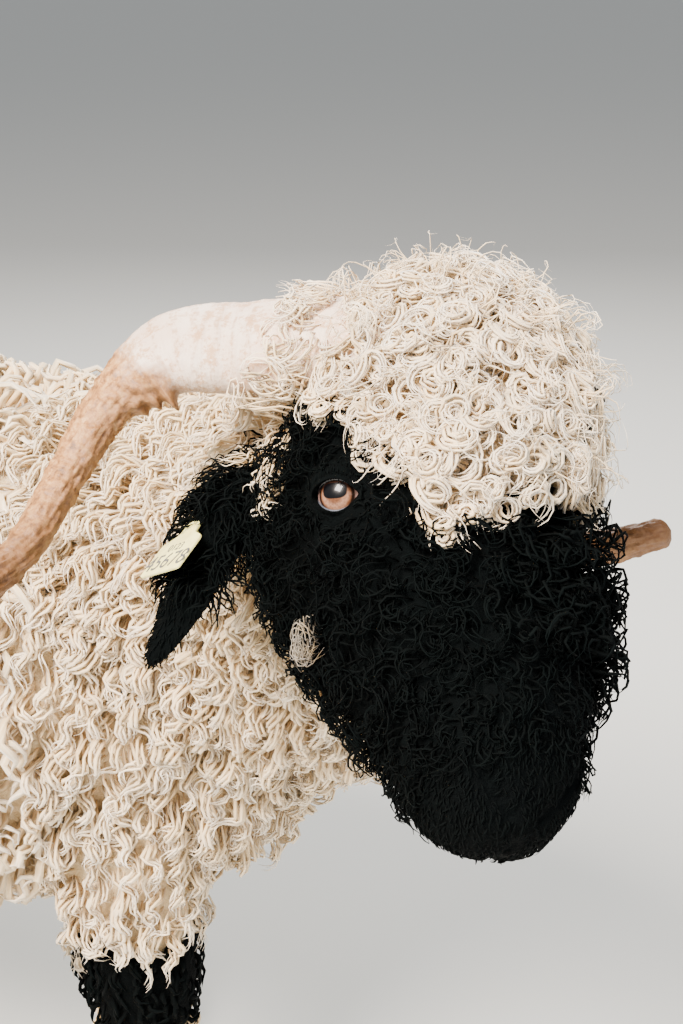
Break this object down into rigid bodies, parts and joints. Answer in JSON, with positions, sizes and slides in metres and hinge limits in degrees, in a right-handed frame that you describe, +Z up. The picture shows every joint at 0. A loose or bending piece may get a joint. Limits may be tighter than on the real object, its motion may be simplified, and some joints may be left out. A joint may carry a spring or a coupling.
{
  "type": "valais blacknose sheep",
  "caption": "Life-size still model of a standing Valais Blacknose sheep with curled horns, black face and knees and a long curly white fleece.",
  "frame": {"origin": "centre of the bounding box's underside, on the floor between the feet", "axes": "+X from rump to brisket, the way the sheep faces; +Y to its left; +Z up"},
  "size_m": [1.2842, 0.7128, 0.9116],
  "materials": {
    "white_wool": "matte",
    "black_wool": "matte",
    "horn": "satin",
    "eye": "gloss",
    "hoof": "satin",
    "tag": "satin"
  },
  "bodies": {
    "root": {"claw_front_left_inner": "hoof", "claw_front_left_outer": "hoof", "claw_front_right_inner": "hoof", "claw_front_right_outer": "hoof", "claw_hind_left_inner": "hoof", "claw_hind_left_outer": "hoof", "claw_hind_right_inner": "hoof", "claw_hind_right_outer": "hoof", "ear_left": "black_wool", "ear_right": "black_wool", "ear_tag": "tag", "eye_left": "eye", "eye_right": "eye", "foreleg_left_cannon": "white_wool", "foreleg_left_foot": "black_wool", "foreleg_left_knee": "black_wool", "foreleg_left_upper": "white_wool", "foreleg_right_cannon": "white_wool", "foreleg_right_foot": "black_wool", "foreleg_right_knee": "black_wool", "foreleg_right_upper": "white_wool", "forelock": "white_wool", "head": "black_wool", "hindleg_left_cannon": "white_wool", "hindleg_left_foot": "black_wool", "hindleg_left_hock": "black_wool", "hindleg_left_upper": "white_wool", "hindleg_right_cannon": "white_wool", "hindleg_right_foot": "black_wool", "hindleg_right_hock": "black_wool", "hindleg_right_upper": "white_wool", "horn_left": "horn", "horn_right": "horn", "neck": "white_wool", "tail": "white_wool", "torso": "white_wool"}
  },
  "joints": []
}
